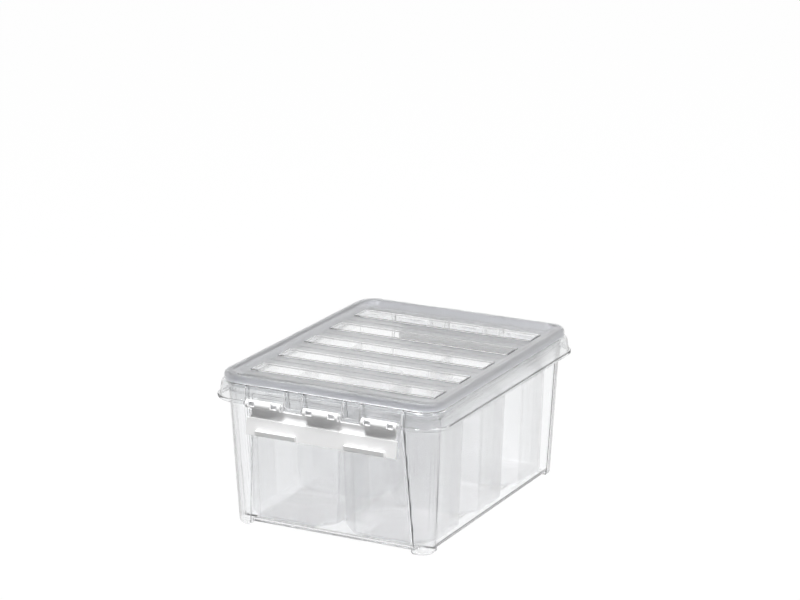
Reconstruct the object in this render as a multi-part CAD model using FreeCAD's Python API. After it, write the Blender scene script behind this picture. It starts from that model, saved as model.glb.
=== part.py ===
import FreeCAD, Part
import math
import os

# Clear storage box: a tub with a flared rim, a lid, two clip handles and six octagonal inserts.
# Millimetres, Z up. X runs along the short side, Y along the long side, and the front is at -Y.
# The origin is on the floor under the middle of the box. The lid is shut and the clips hang open.

# Tub
BASE_X = 260.0  # outside of the panels at their foot
BASE_Y = 344.0
BASE_CORNER = 12.0  # corner radius of the panels at their foot
TUB_HEIGHT = 181.0  # floor to crest of the rim
FOOT_DROP = 4.0  # how far the corner feet reach below the panels, and their round
TUB_WALL = 2.0
FLOOR_THICKNESS = 2.5
WALL_DRAFT = 3.0  # degrees
EDGE_ROUND = 4.0  # the tub's bottom edge
ROUND_STEPS = 3  # bands in each small moulded round
FLOOR_PAD_RISE = 0.8  # frosted step on the floor
FLOOR_PAD_INSET_X = 19.0
FLOOR_PAD_INSET_Y = 8.0

# Corner columns, which stand proud of the short sides and narrow towards the feet
COLUMN_PROUD_X = 0.6
COLUMN_PROUD_Y = 3.0
COLUMN_TOP_X = 41.0
COLUMN_TOP_Y = 26.0
COLUMN_TOP_ROUND = 20.0
COLUMN_FOOT_X = 22.0
COLUMN_FOOT_Y = 22.0
COLUMN_FOOT_ROUND = 15.0
COLUMN_FLUTES = 5  # flat flutes around the corner

# Rim
RIM_CORNER = 30.0  # corner radius outside the rim's shoulder
CREST_WIDTH = 6.0  # flat on which the lid sits
SHOULDER_ROUND = 5.0  # from the crest over to the skirt
RING_SEAT_DEPTH = 12.0  # the wall steps out this far below the crest, for the lid's ring
RING_SEAT_STEP = 1.5
SKIRT_HEIGHT = 22.0
SKIRT_FLARE = 2.5
SKIRT_WALL = 2.0
ROD_RADIUS = 2.0  # the skirt's hem bead, and the rods that the clips turn on
BEAD_ROUND = 1.4

# Hinge bays in the skirt of both short sides
BAY_WIDTH = 52.0
BAY_PITCH = 77.0
BAY_HEAD = 8.0  # room above the rod's axis
GUSSET_WALL = 2.0

# Lid
LID_EDGE = 10.0  # height of the lid's side
LID_WALL = 2.0
LID_OVERHANG = 1.0  # past the crest, on every side
LID_ROUND = 5.0
LID_SEAT_GAP = 0.2
BORDER_WIDTH = 7.0  # flat top of the border, with its outer round
BORDER_SLOPE = 14.0  # run of the slope from the border to the panel
PANEL_DROP = 6.0  # panel below the border's top
RING_DEPTH = 8.0  # locating ring below the crest
RING_CLEARANCE = 1.0
BAND_PITCH = 65.0
BAND_WIDTH = 30.0
BAND_END_GAP = 1.5
BAND_RISE = 1.5
RIDGE_WIDTH = 1.6  # fine ridge between the bands
RIDGE_RISE = 0.6

# Clips
HINGE_CLEARANCE = 0.25
BARREL_RADIUS = 5.0
BARREL_END_GAP = 3.0
BARREL_SLOT = 3.2  # snap opening, narrower than the rod
SLOT_TURN = -45.0  # degrees about the rod from straight up, inwards
HOOK_WINDOW = 9.0
HOOK_WINDOW_HEIGHT = 7.5
HOOK_WINDOW_TURN = 60.0  # outwards
HOOK_WINDOW_INSET = 3.5
CLIP_WALL = 2.2
CLIP_BEAD_GAP = 1.0  # between the plate and the hem bead when shut
CLIP_STRAIGHT = 11.0  # plate below the rod's axis, before it curves out to the flange
CLIP_PLATE_INSET = 4.0  # plate's ends, in from the flange's
CLIP_LEAN = 6.0  # degrees that the open clip leans inwards as it hangs
LIP_REACH = 3.0  # flange's upper edge, outward from the rod's axis
FLANGE_REACH = 8.0  # flange's lower edge
CLIP_TOP_GAP = 6.5  # plate's top edge below the rod's axis, between barrels
PAD_LENGTH = 53.0
PAD_OFFSET = 59.0
PAD_HEIGHT = 7.0
PAD_REACH = 10.5  # outward from the rod's axis
PAD_NOSE = 5.0  # upright face at the pad's tip
LAND_DEPTH = 1.0  # notch in the lid's border under each pad
LAND_GAP = 0.5
LAND_LENGTH = 90.0
LAND_OFFSET = 75.0
LAND_MARGIN = 2.5  # past the pad's reach

# Inserts
INSERT_COLUMNS = ("left", "right")
INSERT_ROWS = ("front", "middle", "rear")
INSERT_HEIGHT = 134.0
INSERT_WALL = 1.6
INSERT_TAPER = 4.5  # each side, from rim to foot
INSERT_CHAMFER = 25.0
INSERT_FOOT_ROUND = 6.0
INSERT_EDGE_FLAT = 1.6  # cut back from each upright edge
INSERT_NEIGHBOUR_GAP = 1.0
INSERT_WALL_GAP = 4.0
INSERT_SEAT_GAP = 0.3

# Worked out from the sizes above
panel_foot_z = FOOT_DROP
floor_z = FOOT_DROP + FLOOR_THICKNESS
draft = math.tan(math.radians(WALL_DRAFT))
ring_seat_z = TUB_HEIGHT - RING_SEAT_DEPTH
hem_z = TUB_HEIGHT - SKIRT_HEIGHT
mouth_x = BASE_X - 2 * TUB_WALL + 2 * (draft * (TUB_HEIGHT - floor_z) + RING_SEAT_STEP)
mouth_y = BASE_Y - 2 * TUB_WALL + 2 * (draft * (TUB_HEIGHT - floor_z) + RING_SEAT_STEP)
crest_x = mouth_x + 2 * CREST_WIDTH
crest_y = mouth_y + 2 * CREST_WIDTH
crest_corner = RIM_CORNER - SHOULDER_ROUND
mouth_corner = crest_corner - CREST_WIDTH
rim_x = crest_x + 2 * SHOULDER_ROUND
rim_y = crest_y + 2 * SHOULDER_ROUND
hem_x = rim_x + 2 * SKIRT_FLARE
hem_y = rim_y + 2 * SKIRT_FLARE
rod_y = hem_y / 2
rod_z = hem_z + ROD_RADIUS
bay_centres = (-BAY_PITCH, 0.0, BAY_PITCH)
barrel_length = BAY_WIDTH - 2 * BARREL_END_GAP
clip_length = 2 * BAY_PITCH + barrel_length
lid_seat_z = TUB_HEIGHT + LID_SEAT_GAP
lid_top_z = lid_seat_z + LID_EDGE
pad_seat = lid_top_z - LAND_DEPTH + LAND_GAP - rod_z
insert_seat_z = floor_z + FLOOR_PAD_RISE + INSERT_SEAT_GAP
insert_rim_z = insert_seat_z + INSERT_HEIGHT

# Small overshoot so that cuts pass clean through
OVER = 1.0


def vector(x, y, z):
    return FreeCAD.Vector(x, y, z)


def rounded_rectangle(size_x, size_y, radius, z):
    """Closed wire of a rectangle with round corners, about the Z axis."""
    x = size_x / 2
    y = size_y / 2
    diagonal = radius * (1 - math.sqrt(0.5))
    edges = []
    for sx, sy, x_first in ((1, -1, True), (1, 1, False), (-1, 1, True), (-1, -1, False)):
        along_x = vector(sx * (x - radius), sy * y, z)
        along_y = vector(sx * x, sy * (y - radius), z)
        middle = vector(sx * (x - diagonal), sy * (y - diagonal), z)
        start, end = (along_x, along_y) if x_first else (along_y, along_x)
        edges.append((start, middle, end))
    wire = []
    for index, (start, middle, end) in enumerate(edges):
        wire.append(Part.Arc(start, middle, end).toShape())
        wire.append(Part.makeLine(end, edges[(index + 1) % len(edges)][0]))
    return Part.Wire(wire)


def prism(size_x, size_y, radius, low, high):
    face = Part.Face(rounded_rectangle(size_x, size_y, radius, low))
    return face.extrude(vector(0, 0, high - low))


def taper(*sections):
    """Solid through wires of the same kind at rising heights."""
    return Part.makeLoft(list(sections), True, True)


def round_steps(radius):
    """(inset, rise) pairs up a quarter round, from its flat to its side."""
    steps = []
    for index in range(ROUND_STEPS + 1):
        turn = math.pi / 2 * index / ROUND_STEPS
        steps.append((radius * (1 - math.sin(turn)), radius * (1 - math.cos(turn))))
    return steps


def rounded_prism(size_x, size_y, radius, low, high, low_round, high_round):
    """Upright prism whose bottom and top edges are rounded where a radius is given."""
    low_steps = round_steps(low_round) if low_round else [(0, 0)]
    high_steps = round_steps(high_round) if high_round else [(0, 0)]
    heights = [(inset, low + rise) for inset, rise in low_steps]
    heights += [(inset, high - rise) for inset, rise in reversed(high_steps)]
    sections = []
    for inset, z in heights:
        sections.append(rounded_rectangle(size_x - 2 * inset, size_y - 2 * inset, radius - inset, z))
    return taper(*sections)


def polygon(points):
    return Part.Face(Part.makePolygon(points + points[:1]))


def stack(levels):
    """Solid with flat faces through polygons of the same kind at rising heights."""
    faces = [polygon(levels[0]), polygon(levels[-1])]
    for low, high in zip(levels, levels[1:]):
        for index in range(len(low)):
            faces.append(polygon([low[index - 1], low[index], high[index], high[index - 1]]))
    return Part.Solid(Part.Shell(faces))


def frame(size_x, size_y, radius, wall, low, high):
    """Upright wall on a rounded rectangle, with its thickness inwards."""
    inside = prism(size_x - 2 * wall, size_y - 2 * wall, radius - wall, low - OVER, high + OVER)
    return prism(size_x, size_y, radius, low, high).cut(inside)


def box(low, high):
    size = high - low
    return Part.makeBox(size.x, size.y, size.z, low)


def turned(shape):
    """The same shape on the opposite short side."""
    copy = shape.copy()
    copy.rotate(vector(0, 0, 0), vector(0, 0, 1), 180)
    return copy


def both_ends(shape):
    return [shape, turned(shape)]


def panel_size(base, z, wall_out):
    """A panel's size at one height: wall_out is 0 on the inside and TUB_WALL on the outside."""
    return base - 2 * TUB_WALL + 2 * (draft * (z - floor_z) + wall_out)


def panel_section(z, wall_out):
    corner = BASE_CORNER + (mouth_corner - BASE_CORNER) * z / TUB_HEIGHT
    size_x = panel_size(BASE_X, z, wall_out)
    size_y = panel_size(BASE_Y, z, wall_out)
    return rounded_rectangle(size_x, size_y, corner - TUB_WALL + wall_out, z)


def column_section(z, inset, sx, sy):
    """A corner column's outline at one height, with every side moved in by inset."""
    share = z / ring_seat_z
    wide_x = COLUMN_FOOT_X + (COLUMN_TOP_X - COLUMN_FOOT_X) * share
    wide_y = COLUMN_FOOT_Y + (COLUMN_TOP_Y - COLUMN_FOOT_Y) * share
    corner = COLUMN_FOOT_ROUND + (COLUMN_TOP_ROUND - COLUMN_FOOT_ROUND) * share - inset
    x = panel_size(BASE_X, z, TUB_WALL) / 2 + COLUMN_PROUD_X - inset
    y = panel_size(BASE_Y, z, TUB_WALL) / 2 + COLUMN_PROUD_Y - inset
    inner_x = x - wide_x + 2 * inset
    inner_y = y - wide_y + 2 * inset
    points = [vector(sx * x, sy * inner_y, z)]
    for index in range(COLUMN_FLUTES + 1):
        turn = math.pi / 2 * index / COLUMN_FLUTES
        along_x = x - corner * (1 - math.cos(turn))
        along_y = y - corner * (1 - math.sin(turn))
        points.append(vector(sx * along_x, sy * along_y, z))
    points.append(vector(sx * inner_x, sy * y, z))
    points.append(vector(sx * inner_x, sy * inner_y, z))
    return points


def make_column(sx, sy, shrink, top):
    """A corner column with a round foot, shrunk on every side."""
    sections = []
    for inset, rise in round_steps(FOOT_DROP - shrink):
        sections.append(column_section(shrink + rise, shrink + inset, sx, sy))
    return stack(sections + [column_section(top, shrink, sx, sy)])


def make_tub_cavity():
    foot = [panel_section(floor_z + rise, -inset) for inset, rise in round_steps(EDGE_ROUND)]
    inside = taper(*foot, panel_section(ring_seat_z, 0))
    mouth_low_x = panel_size(BASE_X, ring_seat_z, RING_SEAT_STEP)
    mouth_low_y = panel_size(BASE_Y, ring_seat_z, RING_SEAT_STEP)
    mouth = taper(
        rounded_rectangle(mouth_low_x, mouth_low_y, mouth_corner, ring_seat_z),
        rounded_rectangle(mouth_x, mouth_y, mouth_corner, TUB_HEIGHT),
    )
    hollow_top = ring_seat_z - TUB_WALL
    hollows = [make_column(sx, sy, TUB_WALL, hollow_top) for sx in (-1, 1) for sy in (-1, 1)]
    return inside.multiFuse([mouth] + hollows)


def make_rim():
    """Crest, shoulder and flared skirt, filled in the middle until the cavity is cut."""
    solids = []
    for inside in (0, SKIRT_WALL):
        low_corner = RIM_CORNER + SKIRT_FLARE - inside
        sections = [rounded_rectangle(hem_x - 2 * inside, hem_y - 2 * inside, low_corner, hem_z)]
        for inset, rise in reversed(round_steps(SHOULDER_ROUND - inside)):
            drawn_in = inside + inset
            size_x = rim_x - 2 * drawn_in
            size_y = rim_y - 2 * drawn_in
            z = TUB_HEIGHT - inside - rise
            sections.append(rounded_rectangle(size_x, size_y, RIM_CORNER - drawn_in, z))
        solids.append(taper(*sections))
    outside, hollow = solids
    return outside.cut(hollow), outside


def make_bead():
    """Half-round hem along the foot of the skirt."""
    out = 2 * ROD_RADIUS
    corner = RIM_CORNER + SKIRT_FLARE + ROD_RADIUS
    top = hem_z + 2 * ROD_RADIUS
    outside = rounded_prism(hem_x + out, hem_y + out, corner, hem_z, top, BEAD_ROUND, BEAD_ROUND)
    inside = prism(
        hem_x - 2 * SKIRT_WALL,
        hem_y - 2 * SKIRT_WALL,
        corner - ROD_RADIUS - SKIRT_WALL,
        hem_z - OVER,
        top + OVER,
    )
    return outside.cut(inside)


def make_bay_cuts():
    """Room for the clip's barrels: one window through the skirt in each bay."""
    cuts = []
    inner_y = rod_y - BARREL_RADIUS - CLIP_BEAD_GAP
    for centre in bay_centres:
        low = vector(centre - BAY_WIDTH / 2, -rod_y - ROD_RADIUS - OVER, hem_z - OVER)
        high = vector(centre + BAY_WIDTH / 2, -inner_y, rod_z + BAY_HEAD)
        cuts += both_ends(box(low, high))
    return cuts


def make_rods_and_gussets(rim_outside):
    pieces = []
    wall_y = panel_size(BASE_Y, hem_z, 0) / 2
    for centre in bay_centres:
        length = BAY_WIDTH + 2 * GUSSET_WALL
        start = vector(centre - length / 2, -rod_y, rod_z)
        pieces += both_ends(Part.makeCylinder(ROD_RADIUS, length, start, vector(1, 0, 0)))
        for side in (-1, 1):
            middle = centre + side * (BAY_WIDTH + GUSSET_WALL) / 2
            low = vector(middle - GUSSET_WALL / 2, -rod_y - OVER, hem_z)
            high = vector(middle + GUSSET_WALL / 2, -wall_y, TUB_HEIGHT - SKIRT_WALL / 2)
            pieces += both_ends(box(low, high).common(rim_outside))
    return pieces


def make_tub():
    foot = []
    for inset, rise in round_steps(EDGE_ROUND):
        foot.append(panel_section(panel_foot_z + rise, TUB_WALL - inset))
    walls = taper(*foot, panel_section(ring_seat_z, TUB_WALL))
    band_out = RING_SEAT_STEP + TUB_WALL
    band_low_z = ring_seat_z - TUB_WALL
    band_high_z = TUB_HEIGHT - SKIRT_WALL / 2
    band = taper(
        rounded_rectangle(
            panel_size(BASE_X, band_low_z, band_out),
            panel_size(BASE_Y, band_low_z, band_out),
            mouth_corner + TUB_WALL,
            band_low_z,
        ),
        rounded_rectangle(
            panel_size(BASE_X, band_high_z, band_out),
            panel_size(BASE_Y, band_high_z, band_out),
            mouth_corner + TUB_WALL,
            band_high_z,
        ),
    )
    columns = [make_column(sx, sy, 0, ring_seat_z) for sx in (-1, 1) for sy in (-1, 1)]
    rim, rim_outside = make_rim()
    skirt = rim.fuse(make_bead()).cut(Part.makeCompound(make_bay_cuts()))
    solid = walls.multiFuse([band, skirt] + columns + make_rods_and_gussets(rim_outside))
    pad = prism(
        BASE_X - 2 * TUB_WALL - 2 * FLOOR_PAD_INSET_X,
        BASE_Y - 2 * TUB_WALL - 2 * FLOOR_PAD_INSET_Y,
        BASE_CORNER,
        panel_foot_z + FLOOR_THICKNESS / 2,
        floor_z + FLOOR_PAD_RISE,
    )
    return solid.cut(make_tub_cavity()).fuse(pad).removeSplitter()


def make_lid():
    lid_x = crest_x + 2 * LID_OVERHANG
    lid_y = crest_y + 2 * LID_OVERHANG
    corner = crest_corner + LID_OVERHANG
    cap = rounded_prism(lid_x, lid_y, corner, lid_seat_z, lid_top_z, 0, LID_ROUND)
    panel_z = lid_top_z - PANEL_DROP
    dish_x = lid_x - 2 * BORDER_WIDTH
    dish_y = lid_y - 2 * BORDER_WIDTH
    panel_x = dish_x - 2 * BORDER_SLOPE
    panel_y = dish_y - 2 * BORDER_SLOPE
    dish_corner = corner - BORDER_WIDTH / 2
    panel_corner = dish_corner - BORDER_SLOPE
    dish = taper(
        rounded_rectangle(panel_x, panel_y, panel_corner, panel_z),
        rounded_rectangle(dish_x, dish_y, dish_corner, lid_top_z),
    )
    grown = 2 * LID_WALL
    dish_underside = taper(
        rounded_rectangle(panel_x + grown, panel_y + grown, panel_corner + LID_WALL, panel_z - LID_WALL),
        rounded_rectangle(dish_x + grown, dish_y + grown, dish_corner + LID_WALL, lid_top_z),
    )
    below = prism(
        lid_x - grown, lid_y - grown, corner - LID_WALL, lid_seat_z - OVER, lid_top_z - LID_WALL
    )
    shell = cap.cut(below.cut(dish_underside))

    ring_x = mouth_x - 2 * RING_CLEARANCE
    ring_y = mouth_y - 2 * RING_CLEARANCE
    ring_corner = mouth_corner - RING_CLEARANCE
    ring = frame(
        ring_x, ring_y, ring_corner, LID_WALL, TUB_HEIGHT - RING_DEPTH, lid_top_z - LID_WALL / 2
    )
    seat_x = mouth_x + CREST_WIDTH + LID_WALL
    seat_y = mouth_y + CREST_WIDTH + LID_WALL
    seat_corner = mouth_corner + CREST_WIDTH / 2 + LID_WALL / 2
    seat = frame(seat_x, seat_y, seat_corner, LID_WALL, lid_seat_z, lid_top_z - LID_WALL / 2)
    lid = shell.multiFuse([ring, seat]).cut(dish)

    band_x = panel_x - 2 * BAND_END_GAP
    band_count = int((panel_y - 2 * BAND_END_GAP - RIDGE_WIDTH) / BAND_PITCH)
    bands = []
    undersides = []
    for index in range(band_count):
        band_y = (index - (band_count - 1) / 2) * BAND_PITCH
        low = vector(-band_x / 2, band_y - BAND_WIDTH / 2, panel_z - LID_WALL / 2)
        high = vector(band_x / 2, band_y + BAND_WIDTH / 2, panel_z + BAND_RISE)
        bands.append(box(low, high))
        under_low = low + vector(LID_WALL, LID_WALL, -LID_WALL)
        under_high = high - vector(LID_WALL, LID_WALL, LID_WALL)
        undersides.append(box(under_low, under_high))
    for index in range(band_count + 1):
        ridge_y = (index - band_count / 2) * BAND_PITCH
        low = vector(-band_x / 2, ridge_y - RIDGE_WIDTH / 2, panel_z - LID_WALL / 2)
        high = vector(band_x / 2, ridge_y + RIDGE_WIDTH / 2, panel_z + RIDGE_RISE)
        bands.append(box(low, high))
    lid = lid.multiFuse(bands).cut(Part.makeCompound(undersides))

    lands = []
    land_y = rod_y - PAD_REACH - LAND_MARGIN
    for side in (-1, 1):
        middle = side * LAND_OFFSET
        low = vector(middle - LAND_LENGTH / 2, -lid_y / 2 - OVER, lid_top_z - LAND_DEPTH)
        high = vector(middle + LAND_LENGTH / 2, -land_y, lid_top_z + OVER)
        lands += both_ends(box(low, high))
    return lid.cut(Part.makeCompound(lands)).removeSplitter()


def at_rod(inward, up, x):
    """A point given from the front rod's axis, inward and up."""
    return vector(x, -rod_y + inward, rod_z + up)


def make_clip():
    """Front clip as it hangs: barrels on the rods, a plate below them and a flange that stands out."""
    along = vector(1, 0, 0)
    left = -clip_length / 2
    plate_left = left + CLIP_PLATE_INSET
    plate_length = clip_length - 2 * CLIP_PLATE_INSET
    face = ROD_RADIUS + CLIP_BEAD_GAP
    back = face + CLIP_WALL
    top = -ROD_RADIUS - HINGE_CLEARANCE - CLIP_BEAD_GAP
    curve = face + LIP_REACH
    lip = -CLIP_STRAIGHT - curve
    end = pad_seat + PAD_HEIGHT
    plate = box(
        at_rod(face, -CLIP_STRAIGHT, plate_left), at_rod(back, top, plate_left + plate_length)
    )
    bend_start = at_rod(-LIP_REACH, -CLIP_STRAIGHT, plate_left)
    outer = Part.makeCylinder(curve + CLIP_WALL, plate_length, bend_start, along)
    inner = Part.makeCylinder(curve, plate_length, bend_start, along)
    quarter = box(
        at_rod(-LIP_REACH, lip - CLIP_WALL, plate_left),
        at_rod(back, -CLIP_STRAIGHT, plate_left + plate_length),
    )
    bend = outer.cut(inner).common(quarter)
    flange = polygon([
        at_rod(-LIP_REACH, lip, left),
        at_rod(-FLANGE_REACH, -end, left),
        at_rod(CLIP_WALL - FLANGE_REACH, -end, left),
        at_rod(CLIP_WALL - LIP_REACH, lip, left),
    ]).extrude(along * clip_length)
    plate = plate.multiFuse([bend, flange])

    gaps = []
    for first, second in zip(bay_centres, bay_centres[1:]):
        low = at_rod(-BARREL_RADIUS, -CLIP_TOP_GAP, first + barrel_length / 2)
        high = at_rod(back + OVER, BARREL_RADIUS, second - barrel_length / 2)
        gaps.append(box(low, high))
    plate = plate.cut(Part.makeCompound(gaps))

    barrels = []
    cuts = []
    for centre in bay_centres:
        start = centre - barrel_length / 2
        barrel_start = at_rod(0, 0, start)
        barrels.append(Part.makeCylinder(BARREL_RADIUS, barrel_length, barrel_start, along))
        bore = ROD_RADIUS + HINGE_CLEARANCE
        long_start = at_rod(0, 0, start - OVER)
        cuts.append(Part.makeCylinder(bore, barrel_length + 2 * OVER, long_start, along))
        # The snap opening faces up and inwards, away from the pull of the shut clip.
        slot = box(
            vector(start - OVER, -BARREL_SLOT / 2, 0),
            vector(start + barrel_length + OVER, BARREL_SLOT / 2, BARREL_RADIUS + OVER),
        )
        slot.rotate(vector(0, 0, 0), along, SLOT_TURN)
        slot.translate(at_rod(0, 0, 0))
        cuts.append(slot)
        for side in (-1, 1):
            middle = centre + side * (barrel_length / 2 - HOOK_WINDOW_INSET - HOOK_WINDOW / 2)
            window = box(
                vector(middle - HOOK_WINDOW / 2, -HOOK_WINDOW_HEIGHT / 2, 0),
                vector(middle + HOOK_WINDOW / 2, HOOK_WINDOW_HEIGHT / 2, BARREL_RADIUS + OVER),
            )
            window.rotate(vector(0, 0, 0), along, HOOK_WINDOW_TURN)
            window.translate(at_rod(0, 0, 0))
            cuts.append(window)

    pads = []
    slope = (FLANGE_REACH - LIP_REACH) / (end + lip)
    root = -LIP_REACH - slope * (pad_seat + lip) + CLIP_WALL / 2
    for side in (-1, 1):
        start = side * PAD_OFFSET - PAD_LENGTH / 2
        pad = polygon([
            at_rod(root, -pad_seat, start),
            at_rod(-PAD_REACH, -pad_seat, start),
            at_rod(-PAD_REACH, -pad_seat - PAD_NOSE, start),
            at_rod(-FLANGE_REACH, -end, start),
            at_rod(CLIP_WALL / 2 - FLANGE_REACH, -end, start),
        ])
        pads.append(pad.extrude(along * PAD_LENGTH))
    clip = plate.multiFuse(barrels + pads).cut(Part.makeCompound(cuts)).removeSplitter()
    clip.rotate(at_rod(0, 0, 0), along, CLIP_LEAN)
    return clip


def insert_section(rim_x, rim_y, z, inset):
    """An insert's octagon at one height, with every side moved in by inset and blunt upright edges."""
    drawn_in = INSERT_TAPER * (insert_rim_z - z) / INSERT_HEIGHT + inset
    x = rim_x / 2 - drawn_in
    y = rim_y / 2 - drawn_in
    chamfer = INSERT_CHAMFER - drawn_in * (2 - math.sqrt(2))
    corners = []
    for sx, sy, x_first in ((1, -1, True), (1, 1, False), (-1, 1, True), (-1, -1, False)):
        along_x = vector(sx * (x - chamfer), sy * y, z)
        along_y = vector(sx * x, sy * (y - chamfer), z)
        corners += [along_x, along_y] if x_first else [along_y, along_x]
    points = []
    for index, corner in enumerate(corners):
        for neighbour in (corners[index - 1], corners[(index + 1) % len(corners)]):
            points.append(corner + (neighbour - corner).normalize() * INSERT_EDGE_FLAT)
    return points


def insert_rim_size():
    """Largest rim for which the inserts clear the tub at their feet and at their rims."""
    sizes = []
    for base, count in ((BASE_X, len(INSERT_COLUMNS)), (BASE_Y, len(INSERT_ROWS))):
        gaps = (count - 1) * INSERT_NEIGHBOUR_GAP
        at_foot = panel_size(base, floor_z, 0) - 2 * INSERT_WALL_GAP + 2 * INSERT_TAPER
        at_rim = panel_size(base, insert_rim_z, 0) - 2 * INSERT_WALL_GAP
        sizes.append((min(at_foot, at_rim) - gaps) / count)
    return sizes


def make_insert_block(rim_x, rim_y, shrink):
    """Tapered octagonal block, shrunk on every side, with a round foot."""
    low = insert_seat_z + shrink
    sections = []
    for inset, rise in round_steps(INSERT_FOOT_ROUND - shrink):
        sections.append(insert_section(rim_x, rim_y, low + rise, shrink + inset))
    return stack(sections + [insert_section(rim_x, rim_y, insert_rim_z, shrink)])


def make_insert(rim_x, rim_y):
    return make_insert_block(rim_x, rim_y, 0).cut(make_insert_block(rim_x, rim_y, INSERT_WALL))


def make_inserts():
    rim_x, rim_y = insert_rim_size()
    first = make_insert(rim_x, rim_y)
    inserts = {}
    for row, row_name in enumerate(INSERT_ROWS):
        for column, column_name in enumerate(INSERT_COLUMNS):
            insert = first.copy()
            x = (column - (len(INSERT_COLUMNS) - 1) / 2) * (rim_x + INSERT_NEIGHBOUR_GAP)
            y = (row - (len(INSERT_ROWS) - 1) / 2) * (rim_y + INSERT_NEIGHBOUR_GAP)
            insert.translate(vector(x, y, 0))
            inserts["insert_" + row_name + "_" + column_name] = insert
    return inserts


def main():
    front_clip = make_clip()
    nodes = {
        "tub": make_tub(),
        "lid": make_lid(),
        "front_clip": front_clip,
        "rear_clip": turned(front_clip),
    }
    nodes.update(make_inserts())
    os.makedirs("parts", exist_ok=True)
    for name, shape in nodes.items():
        volume = round(shape.Volume / 1000, 1)
        print(name, len(shape.Solids), "solid, valid", shape.isValid(), "volume", volume, "cm3")
        shape.exportStep("parts/" + name + ".step")


main()
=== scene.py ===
import math

import bmesh
import bpy
from mathutils import Matrix, Vector


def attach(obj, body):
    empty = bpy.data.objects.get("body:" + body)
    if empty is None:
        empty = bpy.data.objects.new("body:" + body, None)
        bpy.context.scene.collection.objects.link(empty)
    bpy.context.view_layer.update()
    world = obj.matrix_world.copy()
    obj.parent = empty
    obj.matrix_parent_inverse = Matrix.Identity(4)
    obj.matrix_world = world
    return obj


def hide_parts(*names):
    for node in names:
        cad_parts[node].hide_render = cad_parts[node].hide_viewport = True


# Looks of a clear storage box: tub, lid, two clip handles and six frosted inserts.
# Metres, in the same frame as the solids: front at -Y, floor at Z = 0.

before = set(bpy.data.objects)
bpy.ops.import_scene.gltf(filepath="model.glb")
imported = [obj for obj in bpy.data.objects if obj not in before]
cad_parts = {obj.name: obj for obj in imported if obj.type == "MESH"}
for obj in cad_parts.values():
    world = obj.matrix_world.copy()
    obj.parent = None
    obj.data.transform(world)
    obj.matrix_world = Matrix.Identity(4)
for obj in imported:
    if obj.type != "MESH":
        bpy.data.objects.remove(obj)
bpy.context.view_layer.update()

MM = 0.001
CLIP_NODES = ("front_clip", "rear_clip")
INSERT_NODES = [name for name in sorted(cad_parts) if name.startswith("insert_")]

# Camera, from the perspective of the photograph's edges
PHOTO_WIDTH = 800
FOCAL_PIXELS = 2975.7
SENSOR_WIDTH = 36.0
CAMERA_AZIMUTH = math.radians(27.483)
CAMERA_ELEVATION = math.radians(15.847)
CAMERA_DISTANCE = 3.6459
CAMERA_REACH = 100
AIM_HEIGHT = 0.091
AIM_RIGHT = 0.00204
AIM_UP = 0.15427

# Studio
DOME_WHITE_BELOW = 0.35
DOME_GREY_ABOVE = 0.8
DOME_GREY = 0.35
FILL_AT_ZENITH = 0.5
FLOOR_HALF_SIZE = 30
FLOOR_GLOW = 0.98
FLOOR_SEEN = 0.9
FLOOR_BOUNCE = 0.22
LAMP_AIM = (0, 0, 0.15)
KEY_PLACE = (-0.3, -0.8, 2.38)
KEY_SIZE = 0.8
KEY_POWER = 68
SIDE_PLACE = (1.7, -0.5, 1.6)
SIDE_SIZE = 1.0
SIDE_POWER = 30
BACK_PLACE = (0.5, 1.7, 2.2)
BACK_SIZE = 1.0
BACK_POWER = 20
LIGHT_BOUNCES = 32
TRANSPARENT_BOUNCES = 48

# Every plastic: its marks are noise, of which the scales are in repeats per metre
MARK_DETAIL = 2
REFRACTIVE_INDEX = 1.49
POLISH_ROUGH = 0.015
POLISH_GRAIN_ROUGH = 0.03
CLEAR_TRANSMISSION = 1.0
CLEAR_TINT = (0.965, 0.965, 0.97, 1)

# Widths over which one finish fades into the next
UNDERSIDE_FADE = 0.2 * MM
LID_FADE = 0.4 * MM
FLOOR_TOP_FADE = 0.4 * MM
FROST_FADE = 0.5 * MM
PATCH_FADE = 0.6 * MM
GATE_FADE = 1.0 * MM
WALL_FADE = 1.0 * MM

# Tub: frosted floor, with a bare polished patch at each end and the mark of the gate
FLOOR_TOP = 8 * MM
FROST_HALF_X = 109 * MM
FROST_HALF_Y = 169 * MM
FRONT_PATCH = (3.5 * MM, -143 * MM, 33 * MM, 19 * MM)
REAR_PATCH = (19 * MM, 122 * MM, 23 * MM, 20 * MM)
GATE_X = -57 * MM
GATE_Y = -110 * MM
GATE_RADIUS = 4.5 * MM
GATE_DARKER = 0.1
FROST_TONE = 0.67
FROST_WAVE_TONE = 0.16
FROST_ROUGH = 0.35
WALL_COLOUR = (0.97, 0.975, 0.98, 1)
WALL_DRAFT = math.tan(math.radians(3))
TUB_WAVE_SCALE = 18
TUB_GRAIN_SCALE = 900
TUB_BUMP = 0.1
TUB_BUMP_DEPTH = 1.5 * MM

# Tub: rougher skirt below the rim, tinted grey as painted shade for its overlapping walls, and
# corner columns with fine upright lines
SKIRT_FOOT = 158 * MM
SKIRT_PAINTED_SHADE = (0.87, 0.875, 0.88, 1)
SKIRT_ROUGH = 0.08
COLUMN_START_X = 112 * MM
COLUMN_START_Y = 154 * MM
COLUMN_WIDER_X = 19 * MM
COLUMN_WIDER_Y = 4 * MM
COLUMN_COLOUR = (0.975, 0.978, 0.982, 1)
COLUMN_ROUGH = 0.13
COLUMN_LINE_PITCH = 3.2 * MM
COLUMN_LINE_HEIGHT = 0.8

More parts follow.
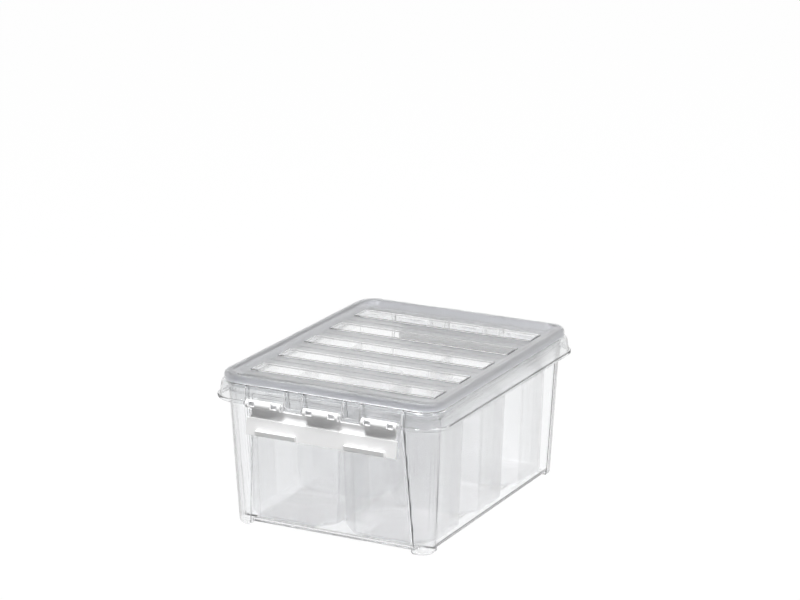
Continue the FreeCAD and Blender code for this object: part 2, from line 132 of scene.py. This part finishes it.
# Lid: five clear bands across a panel that is frosted on its upper face
BAND_PITCH = 65 * MM
BAND_HALF_WIDTH = 15 * MM
BAND_HALF_LENGTH = 123 * MM
BAND_HALF_REACH = 146 * MM
BAND_COLOUR = (0.98, 0.982, 0.985, 1)
PANEL_MIDDLE = 184.3 * MM
PANEL_HALF_X = 125 * MM
PANEL_HALF_Y = 167 * MM
PANEL_COLOUR = (0.77, 0.776, 0.79, 1)
BORDER_COLOUR = (0.84, 0.846, 0.862, 1)
LID_FROST_ROUGH = 0.28
LID_WAVE_SCALE = 20
LID_GRAIN_SCALE = 1100
LID_BUMP = 0.06
LID_BUMP_DEPTH = 2 * MM

# Clips: white, with a satin grain
CLIP_DARKER = (0.84, 0.84, 0.845, 1)
CLIP_PALER = (0.89, 0.89, 0.89, 1)
CLIP_ROUGH = 0.2
CLIP_GRAIN_ROUGH = 0.12
CLIP_WAVE_SCALE = 40
CLIP_GRAIN_SCALE = 1500
CLIP_BUMP = 0.04
CLIP_BUMP_DEPTH = 0.3 * MM

# Inserts: thin and milky, so that the wall behind shows faintly
INSERT_DARKER = (0.965, 0.968, 0.975, 1)
INSERT_PALER = (0.985, 0.987, 0.99, 1)
INSERT_TINT = (0.95, 0.95, 0.955, 1)
INSERT_ROUGH = 0.17
INSERT_GRAIN_ROUGH = 0.1
INSERT_ALPHA = 0.33
INSERT_WAVE_ALPHA = 0.06
INSERT_TRANSMISSION = 0.92
INSERT_WAVE_SCALE = 14
INSERT_GRAIN_SCALE = 1300
INSERT_BUMP = 0.05
INSERT_BUMP_DEPTH = 0.3 * MM

# Copies of the solids with soft edges
MERGE_DISTANCE = 0.002 * MM
FLAT_ANGLE = math.radians(0.5)
SHARP_ANGLE = math.radians(35)
CLEAR_ROUND = 0.35 * MM
CLIP_ROUND = 0.5 * MM
INSERT_ROUND = 0.5 * MM
ROUND_ABOVE = math.radians(40)
INSERT_ROUND_ABOVE = math.radians(15)
ROUND_SEGMENTS = 2
LARGE_FACE_WEIGHT = 100

# Places of the colour sockets on a mix node, where numbers and vectors come first
MIX_FIRST_COLOUR = 6
MIX_SECOND_COLOUR = 7
MIX_RESULT_COLOUR = 2


def add_camera():
    outward = Vector((
        math.sin(CAMERA_AZIMUTH) * math.cos(CAMERA_ELEVATION),
        -math.cos(CAMERA_AZIMUTH) * math.cos(CAMERA_ELEVATION),
        math.sin(CAMERA_ELEVATION),
    ))
    right = Vector((math.cos(CAMERA_AZIMUTH), math.sin(CAMERA_AZIMUTH), 0))
    up = outward.cross(right)
    aim = Vector((0, 0, AIM_HEIGHT)) + right * AIM_RIGHT + up * AIM_UP
    data = bpy.data.cameras.new("photo_camera")
    data.sensor_width = SENSOR_WIDTH
    data.lens = SENSOR_WIDTH * FOCAL_PIXELS / PHOTO_WIDTH
    data.clip_end = CAMERA_REACH
    camera = bpy.data.objects.new("photo_camera", data)
    turn = Matrix((right, up, outward)).transposed().to_4x4()
    camera.matrix_world = Matrix.Translation(aim + outward * CAMERA_DISTANCE) @ turn
    bpy.context.scene.collection.objects.link(camera)
    bpy.context.scene.camera = camera


class Nodes:
    """Adds nodes to a material, world or group and links them."""

    def __init__(self, tree):
        self.tree = tree
        self.tree.nodes.clear()

    def add(self, kind, **settings):
        node = self.tree.nodes.new(kind)
        for name, value in settings.items():
            setattr(node, name, value)
        return node

    def link(self, source, target):
        self.tree.links.new(source, target)

    def feed(self, socket, value):
        if hasattr(value, "is_output"):
            self.link(value, socket)
        else:
            socket.default_value = value

    def math(self, operation, first, second=0.0, third=0.0, clamp=False):
        node = self.add("ShaderNodeMath", operation=operation, use_clamp=clamp)
        for socket, value in zip(node.inputs, (first, second, third)):
            self.feed(socket, value)
        return node.outputs[0]

    def mix(self, share, first, second):
        node = self.add("ShaderNodeMix", data_type="RGBA")
        self.feed(node.inputs["Factor"], share)
        self.feed(node.inputs[MIX_FIRST_COLOUR], first)
        self.feed(node.inputs[MIX_SECOND_COLOUR], second)
        return node.outputs[MIX_RESULT_COLOUR]

    def mix_shaders(self, share, first, second):
        node = self.add("ShaderNodeMixShader")
        for socket, source in zip(node.inputs, (share, first, second)):
            self.link(source, socket)
        return node.outputs[0]

    def place(self, kind="Object"):
        """X, Y and Z, by default of the piece's own coordinates."""
        place = self.add("ShaderNodeTexCoord")
        parts = self.add("ShaderNodeSeparateXYZ")
        self.link(place.outputs[kind], parts.inputs[0])
        return tuple(parts.outputs)

    def above(self, value, limit, fade):
        """1 where a value is above a limit, half on the limit itself."""
        return self.math("MULTIPLY_ADD", value, 1 / fade, 0.5 - limit / fade, clamp=True)

    def within(self, value, half, fade):
        """1 where a value lies nearer to zero than half."""
        away = self.math("ABSOLUTE", value)
        return self.math("MULTIPLY_ADD", away, -1 / fade, half / fade + 0.5, clamp=True)

    def rectangle(self, x, y, half_x, half_y, fade):
        return self.both(self.within(x, half_x, fade), self.within(y, half_y, fade))

    def both(self, first, second):
        return self.math("MULTIPLY", first, second)

    def opposite(self, mask):
        return self.math("SUBTRACT", 1.0, mask)


def grey(value):
    return (value, value, value, 1)


def add_world():
    """White behind the object, greyer overhead as plastic mirrors it, and a soft fill from above."""
    world = bpy.data.worlds.new("studio")
    bpy.context.scene.world = world
    world.use_nodes = True
    nodes = Nodes(world.node_tree)
    _, _, upward = nodes.place("Generated")
    dome = nodes.add("ShaderNodeValToRGB")
    nodes.link(upward, dome.inputs["Fac"])
    dome.color_ramp.elements[0].position = DOME_WHITE_BELOW
    dome.color_ramp.elements[0].color = grey(1)
    dome.color_ramp.elements[1].position = DOME_GREY_ABOVE
    dome.color_ramp.elements[1].color = grey(DOME_GREY)
    path = nodes.add("ShaderNodeLightPath")
    seen = nodes.add("ShaderNodeBackground")
    seen.inputs["Color"].default_value = grey(1)
    mirrored = nodes.add("ShaderNodeBackground")
    nodes.link(dome.outputs["Color"], mirrored.inputs["Color"])
    fill = nodes.add("ShaderNodeBackground")
    fill.inputs["Color"].default_value = grey(1)
    height = nodes.math("MAXIMUM", upward, 0.0)
    nodes.link(nodes.math("MULTIPLY", height, FILL_AT_ZENITH), fill.inputs["Strength"])
    by_plastic = nodes.math(
        "ADD", path.outputs["Is Glossy Ray"], path.outputs["Is Transmission Ray"], clamp=True
    )
    around = nodes.mix_shaders(by_plastic, fill.outputs[0], mirrored.outputs[0])
    whole = nodes.mix_shaders(path.outputs["Is Camera Ray"], around, seen.outputs[0])
    output = nodes.add("ShaderNodeOutputWorld")
    nodes.link(whole, output.inputs["Surface"])


def add_lamp(name, place, size, power):
    data = bpy.data.lights.new(name, "AREA")
    data.shape = "SQUARE"
    data.size = size
    data.energy = power
    lamp = bpy.data.objects.new(name, data)
    turn = (Vector(LAMP_AIM) - Vector(place)).to_track_quat("-Z", "Y")
    lamp.matrix_world = Matrix.Translation(place) @ turn.to_matrix().to_4x4()
    bpy.context.scene.collection.objects.link(lamp)


def add_floor():
    """White where it is seen, but throwing little light back at the object."""
    mesh = bpy.data.meshes.new("floor")
    form = bmesh.new()
    bmesh.ops.create_grid(form, x_segments=1, y_segments=1, size=FLOOR_HALF_SIZE)
    form.to_mesh(mesh)
    form.free()
    floor = bpy.data.objects.new("floor", mesh)
    bpy.context.scene.collection.objects.link(floor)
    material = bpy.data.materials.new("white_floor")
    material.use_nodes = True
    nodes = Nodes(material.node_tree)
    path = nodes.add("ShaderNodeLightPath")
    glow = nodes.add("ShaderNodeEmission")
    paper = nodes.add("ShaderNodeBsdfDiffuse")
    bright = nodes.math("ADD", path.outputs["Is Camera Ray"], path.outputs["Is Glossy Ray"])
    bright = nodes.math("ADD", bright, path.outputs["Is Transmission Ray"], clamp=True)
    nodes.link(nodes.mix(bright, grey(FLOOR_BOUNCE), grey(FLOOR_SEEN)), paper.inputs["Color"])
    share = nodes.math("MULTIPLY", bright, FLOOR_GLOW)
    mixed = nodes.mix_shaders(share, paper.outputs[0], glow.outputs[0])
    output = nodes.add("ShaderNodeOutputMaterial")
    nodes.link(mixed, output.inputs["Surface"])
    mesh.materials.append(material)


def make_moulding_marks():
    """Slow waves of the mould's polish and a fine grain, for every plastic here."""
    group = bpy.data.node_groups.new("moulding_marks", "ShaderNodeTree")
    for name in ("Wave Scale", "Grain Scale"):
        group.interface.new_socket(name, in_out="INPUT", socket_type="NodeSocketFloat")
    for name in ("Waves", "Grain"):
        group.interface.new_socket(name, in_out="OUTPUT", socket_type="NodeSocketFloat")
    nodes = Nodes(group)
    given = nodes.add("NodeGroupInput")
    result = nodes.add("NodeGroupOutput")
    place = nodes.add("ShaderNodeTexCoord")
    for scale, name in (("Wave Scale", "Waves"), ("Grain Scale", "Grain")):
        noise = nodes.add("ShaderNodeTexNoise")
        noise.inputs["Detail"].default_value = MARK_DETAIL
        nodes.link(place.outputs["Object"], noise.inputs["Vector"])
        nodes.link(given.outputs[scale], noise.inputs["Scale"])
        nodes.link(noise.outputs["Fac"], result.inputs[name])
    return group


def add_marks(nodes, wave_scale, grain_scale):
    marks = nodes.add("ShaderNodeGroup", node_tree=moulding_marks)
    marks.inputs["Wave Scale"].default_value = wave_scale
    marks.inputs["Grain Scale"].default_value = grain_scale
    return marks.outputs["Waves"], marks.outputs["Grain"]


def add_bump(nodes, principled, height, strength, depth):
    bump = nodes.add("ShaderNodeBump")
    bump.inputs["Strength"].default_value = strength
    bump.inputs["Distance"].default_value = depth
    nodes.link(height, bump.inputs["Height"])
    nodes.link(bump.outputs["Normal"], principled.inputs["Normal"])


def start_material(name):
    material = bpy.data.materials.new(name)
    material.use_nodes = True
    nodes = Nodes(material.node_tree)
    principled = nodes.add("ShaderNodeBsdfPrincipled")
    output = nodes.add("ShaderNodeOutputMaterial")
    return material, nodes, principled, output


def let_light_through(nodes, principled, output, transmission, tint):
    """Bends what is seen, but lets lamp and fill light pass straight on with a slight tint."""
    principled.inputs["IOR"].default_value = REFRACTIVE_INDEX
    principled.inputs["Transmission Weight"].default_value = transmission
    path = nodes.add("ShaderNodeLightPath")
    passing = nodes.math(
        "ADD", path.outputs["Is Shadow Ray"], path.outputs["Is Diffuse Ray"], clamp=True
    )
    straight = nodes.add("ShaderNodeBsdfTransparent")
    straight.inputs["Color"].default_value = tint
    mixed = nodes.mix_shaders(passing, principled.outputs[0], straight.outputs[0])
    nodes.link(mixed, output.inputs["Surface"])


def mask_frost(nodes, x, y, z):
    """1 on the tub's frosted floor, 0 on its two bare patches and elsewhere."""
    on_floor = nodes.opposite(nodes.above(z, FLOOR_TOP, FLOOR_TOP_FADE))
    frost = nodes.both(nodes.rectangle(x, y, FROST_HALF_X, FROST_HALF_Y, FROST_FADE), on_floor)
    for middle_x, middle_y, half_x, half_y in (FRONT_PATCH, REAR_PATCH):
        from_x = nodes.math("SUBTRACT", x, middle_x)
        from_y = nodes.math("SUBTRACT", y, middle_y)
        patch = nodes.rectangle(from_x, from_y, half_x, half_y, PATCH_FADE)
        frost = nodes.both(frost, nodes.opposite(patch))
    return frost


def mask_columns(nodes, away_x, away_y, z):
    """1 in the tub's corners, on columns that widen upwards as the walls lean out."""
    lean_x = COLUMN_WIDER_X / SKIRT_FOOT - WALL_DRAFT
    lean_y = COLUMN_WIDER_Y / SKIRT_FOOT - WALL_DRAFT
    level_x = nodes.math("MULTIPLY_ADD", z, lean_x, away_x)
    level_y = nodes.math("MULTIPLY_ADD", z, lean_y, away_y)
    return nodes.both(
        nodes.above(level_x, COLUMN_START_X, WALL_FADE),
        nodes.above(level_y, COLUMN_START_Y, WALL_FADE),
    )


def mask_gate(nodes, x, y):
    """1 on the round mark where the plastic entered the mould."""
    from_x = nodes.math("SUBTRACT", x, GATE_X)
    from_y = nodes.math("SUBTRACT", y, GATE_Y)
    square_x = nodes.math("MULTIPLY", from_x, from_x)
    square_y = nodes.math("MULTIPLY", from_y, from_y)
    from_gate = nodes.math("SQRT", nodes.math("ADD", square_x, square_y))
    return nodes.within(from_gate, GATE_RADIUS, GATE_FADE)


def make_tub_plastic():
    material, nodes, principled, output = start_material("clear_tub_plastic")
    x, y, z = nodes.place()
    away_x = nodes.math("ABSOLUTE", x)
    away_y = nodes.math("ABSOLUTE", y)
    waves, grain = add_marks(nodes, TUB_WAVE_SCALE, TUB_GRAIN_SCALE)
    frost = mask_frost(nodes, x, y, z)
    skirt = nodes.above(z, SKIRT_FOOT, WALL_FADE)
    column = nodes.both(mask_columns(nodes, away_x, away_y, z), nodes.opposite(skirt))

    frost_tone = nodes.math("MULTIPLY_ADD", waves, FROST_WAVE_TONE, FROST_TONE)
    frost_tone = nodes.math("MULTIPLY_ADD", mask_gate(nodes, x, y), -GATE_DARKER, frost_tone)
    frost_colour = nodes.add("ShaderNodeCombineColor")
    for socket in frost_colour.inputs:
        nodes.link(frost_tone, socket)
    # The skirt's grey is painted shade, standing for the darkening seen through its overlapping
    # walls
    colour = nodes.mix(skirt, WALL_COLOUR, SKIRT_PAINTED_SHADE)
    colour = nodes.mix(column, colour, COLUMN_COLOUR)
    colour = nodes.mix(frost, colour, frost_colour.outputs[0])
    nodes.link(colour, principled.inputs["Base Color"])

    rough = nodes.math("MULTIPLY_ADD", grain, POLISH_GRAIN_ROUGH, POLISH_ROUGH)
    for mask, rougher in ((frost, FROST_ROUGH), (column, COLUMN_ROUGH), (skirt, SKIRT_ROUGH)):
        rough = nodes.math("MULTIPLY_ADD", mask, rougher, rough)
    nodes.link(rough, principled.inputs["Roughness"])

    around = nodes.math("SUBTRACT", away_x, away_y)
    lines = nodes.math("SINE", nodes.math("MULTIPLY", around, 2 * math.pi / COLUMN_LINE_PITCH))
    height = nodes.math("MULTIPLY_ADD", nodes.both(column, lines), COLUMN_LINE_HEIGHT, waves)
    add_bump(nodes, principled, height, TUB_BUMP, TUB_BUMP_DEPTH)
    let_light_through(nodes, principled, output, CLEAR_TRANSMISSION, CLEAR_TINT)
    return material


def make_lid_plastic():
    material, nodes, principled, output = start_material("clear_lid_plastic")
    x, y, z = nodes.place()
    waves, grain = add_marks(nodes, LID_WAVE_SCALE, LID_GRAIN_SCALE)
    across = nodes.math("PINGPONG", y, BAND_PITCH / 2)
    band = nodes.rectangle(across, x, BAND_HALF_WIDTH, BAND_HALF_LENGTH, LID_FADE)
    band = nodes.both(band, nodes.within(y, BAND_HALF_REACH, LID_FADE))
    panel = nodes.rectangle(x, y, PANEL_HALF_X, PANEL_HALF_Y, LID_FADE)
    below = nodes.opposite(nodes.above(z, PANEL_MIDDLE, UNDERSIDE_FADE))
    clear = nodes.math("MAXIMUM", band, nodes.both(panel, below))
    frost = nodes.opposite(clear)

    colour = nodes.mix(panel, BORDER_COLOUR, PANEL_COLOUR)
    colour = nodes.mix(frost, BAND_COLOUR, colour)
    nodes.link(colour, principled.inputs["Base Color"])
    polish = nodes.math("MULTIPLY_ADD", grain, POLISH_GRAIN_ROUGH, POLISH_ROUGH)
    rough = nodes.math("MULTIPLY_ADD", frost, LID_FROST_ROUGH, polish)
    nodes.link(rough, principled.inputs["Roughness"])
    add_bump(nodes, principled, waves, LID_BUMP, LID_BUMP_DEPTH)
    let_light_through(nodes, principled, output, CLEAR_TRANSMISSION, CLEAR_TINT)
    return material


def make_clip_plastic():
    material, nodes, principled, output = start_material("white_clip_plastic")
    waves, grain = add_marks(nodes, CLIP_WAVE_SCALE, CLIP_GRAIN_SCALE)
    colour = nodes.mix(waves, CLIP_DARKER, CLIP_PALER)
    nodes.link(colour, principled.inputs["Base Color"])
    rough = nodes.math("MULTIPLY_ADD", grain, CLIP_GRAIN_ROUGH, CLIP_ROUGH)
    nodes.link(rough, principled.inputs["Roughness"])
    add_bump(nodes, principled, grain, CLIP_BUMP, CLIP_BUMP_DEPTH)
    nodes.link(principled.outputs[0], output.inputs["Surface"])
    return material


def make_insert_plastic():
    material, nodes, principled, output = start_material("frosted_insert_plastic")
    waves, grain = add_marks(nodes, INSERT_WAVE_SCALE, INSERT_GRAIN_SCALE)
    colour = nodes.mix(waves, INSERT_DARKER, INSERT_PALER)
    nodes.link(colour, principled.inputs["Base Color"])
    rough = nodes.math("MULTIPLY_ADD", grain, INSERT_GRAIN_ROUGH, INSERT_ROUGH)
    nodes.link(rough, principled.inputs["Roughness"])
    alpha = nodes.math("MULTIPLY_ADD", waves, INSERT_WAVE_ALPHA, INSERT_ALPHA)
    nodes.link(alpha, principled.inputs["Alpha"])
    add_bump(nodes, principled, grain, INSERT_BUMP, INSERT_BUMP_DEPTH)
    let_light_through(nodes, principled, output, INSERT_TRANSMISSION, INSERT_TINT)
    return material


def soften(node, material, edge_round, edge_angle):
    """A merged copy of a solid with rounded edges, which stands for it and moves with its body."""
    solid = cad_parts[node]
    form = bmesh.new()
    form.from_mesh(solid.data)
    bmesh.ops.remove_doubles(form, verts=form.verts, dist=MERGE_DISTANCE)
    bmesh.ops.dissolve_limit(form, angle_limit=FLAT_ANGLE, verts=form.verts, edges=form.edges)
    mesh = bpy.data.meshes.new(node + "_moulding")
    form.to_mesh(mesh)
    form.free()
    mesh.shade_smooth()
    mesh.set_sharp_from_angle(angle=SHARP_ANGLE)
    mesh.materials.clear()
    mesh.materials.append(material)
    piece = bpy.data.objects.new(node + "_moulding", mesh)
    bpy.context.scene.collection.objects.link(piece)
    bevel = piece.modifiers.new("soft_edges", "BEVEL")
    bevel.width = edge_round
    bevel.segments = ROUND_SEGMENTS
    bevel.limit_method = "ANGLE"
    bevel.angle_limit = edge_angle
    weighted = piece.modifiers.new("flat_faces", "WEIGHTED_NORMAL")
    weighted.mode = "FACE_AREA"
    weighted.weight = LARGE_FACE_WEIGHT
    weighted.keep_sharp = True
    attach(piece, node)
    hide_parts(node)


moulding_marks = make_moulding_marks()

add_camera()
add_world()
add_floor()
add_lamp("key_softbox", KEY_PLACE, KEY_SIZE, KEY_POWER)
add_lamp("side_softbox", SIDE_PLACE, SIDE_SIZE, SIDE_POWER)
add_lamp("back_softbox", BACK_PLACE, BACK_SIZE, BACK_POWER)

soften("tub", make_tub_plastic(), CLEAR_ROUND, ROUND_ABOVE)
soften("lid", make_lid_plastic(), CLEAR_ROUND, ROUND_ABOVE)
clip_plastic = make_clip_plastic()
for clip_node in CLIP_NODES:
    soften(clip_node, clip_plastic, CLIP_ROUND, ROUND_ABOVE)
insert_plastic = make_insert_plastic()
for insert_node in INSERT_NODES:
    soften(insert_node, insert_plastic, INSERT_ROUND, INSERT_ROUND_ABOVE)

cycles = bpy.context.scene.cycles
cycles.max_bounces = LIGHT_BOUNCES
cycles.transmission_bounces = LIGHT_BOUNCES
cycles.transparent_max_bounces = TRANSPARENT_BOUNCES
bpy.context.scene.view_settings.view_transform = "Standard"
